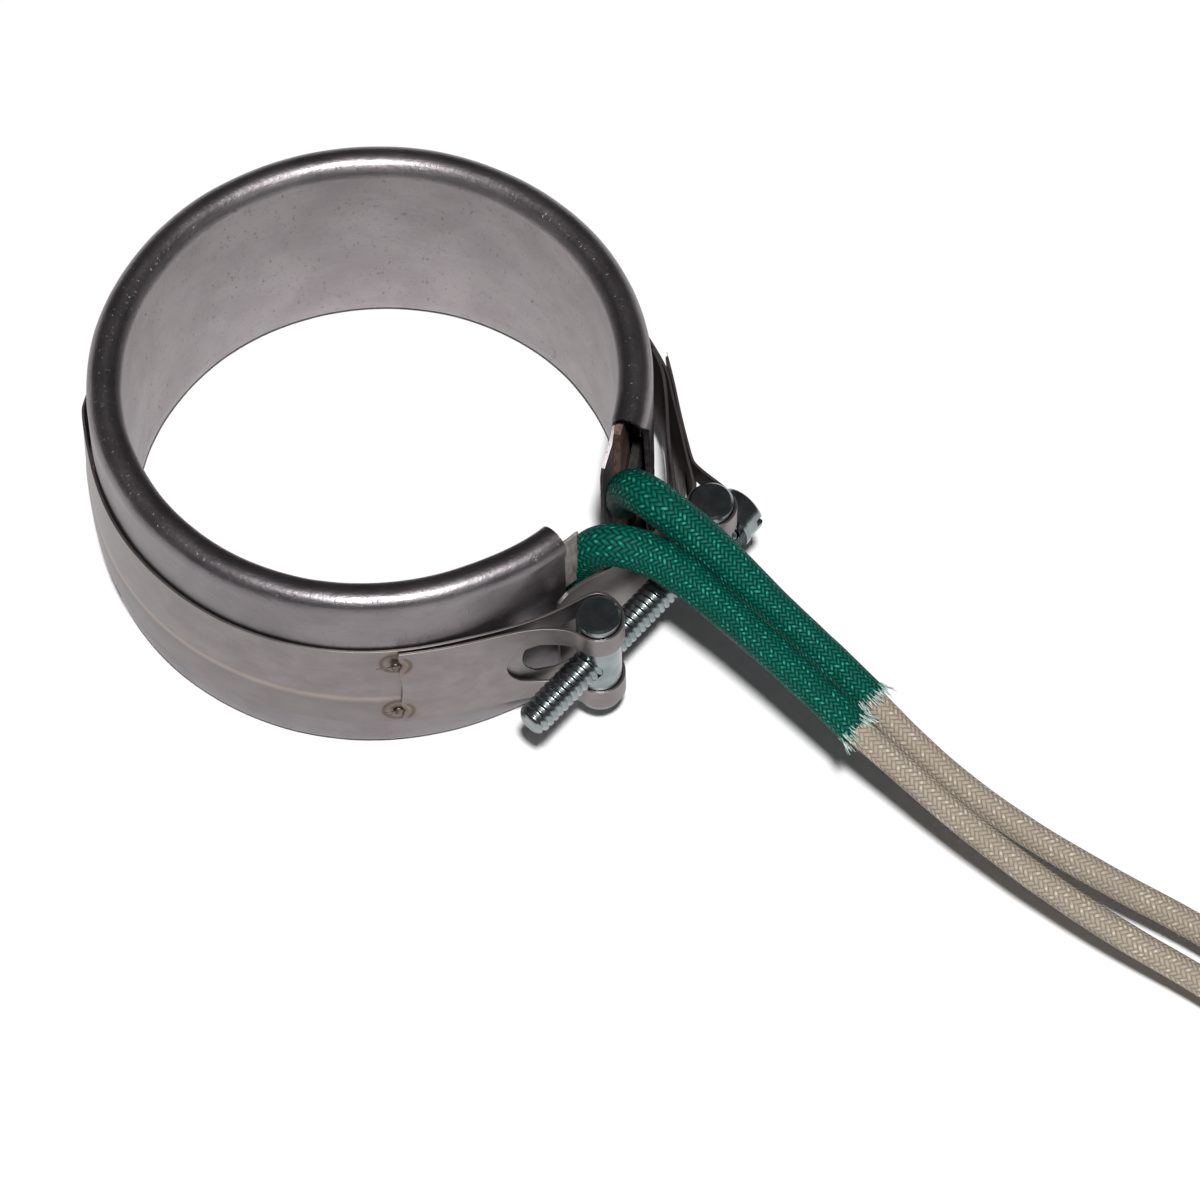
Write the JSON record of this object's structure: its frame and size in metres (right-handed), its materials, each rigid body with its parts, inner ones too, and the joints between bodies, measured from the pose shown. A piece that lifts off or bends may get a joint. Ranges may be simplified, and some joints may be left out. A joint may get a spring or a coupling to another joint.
{
  "type": "band heater",
  "caption": "Mica band heater: an open flattened-tube ring with a strap, barrel nuts and a slotted clamp screw, and two sleeved glass-braid leads.",
  "frame": {"origin": "centre of the bore, at half the band's height", "axes": "+Z along the bore, +X through the gap between the ring's ends, +Y from the threaded barrel towards the screw's head"},
  "size_m": [0.2556, 0.1019, 0.0364],
  "materials": {
    "sheath_steel": "matt rolled stainless steel",
    "strap_steel": "rolled stainless strip, slightly worn",
    "zinc_plate": "blue zinc plate",
    "weld": "heat-tinted weld",
    "mica": "brown mica sheet",
    "ribbon_alloy": "nickel chrome ribbon",
    "nickel": "nickel plate",
    "glass_braid": "beige glass-fibre braid",
    "green_sleeve": "varnished green glass sleeve"
  },
  "bodies": {
    "heater": {"sheath": "sheath_steel", "inner_mica": "mica", "outer_mica": "mica", "element_card": "mica", "heating_ribbon": "ribbon_alloy", "near_terminal": "nickel", "far_terminal": "nickel", "near_conductor": "nickel", "far_conductor": "nickel", "clamp_strap": "strap_steel", "bridge_plate": "strap_steel", "near_welds": "weld", "threaded_barrel": "zinc_plate", "plain_barrel": "zinc_plate", "near_lead": "glass_braid", "far_lead": "glass_braid", "near_sleeve": "green_sleeve", "far_sleeve": "green_sleeve", "near_coil": "glass_braid", "far_coil": "glass_braid"},
    "washer": {"screw_washer": "zinc_plate"},
    "screw": {"clamp_screw": "zinc_plate"}
  },
  "joints": [
    {"name": "screw_advance", "type": "slide", "parent": "heater", "child": "washer", "axis": [0, 1, 0], "range_m": [0, 0.0179]},
    {"name": "screw_turn", "type": "hinge", "parent": "washer", "child": "screw", "pos_m": [0.0475, 0, -0.0013], "axis": [0, 1, 0], "range_deg": [0, 6120]}
  ],
  "couplings": [
    {"joint": "screw_turn", "follows": "screw_advance", "rad_per_m": 5936.8}
  ]
}
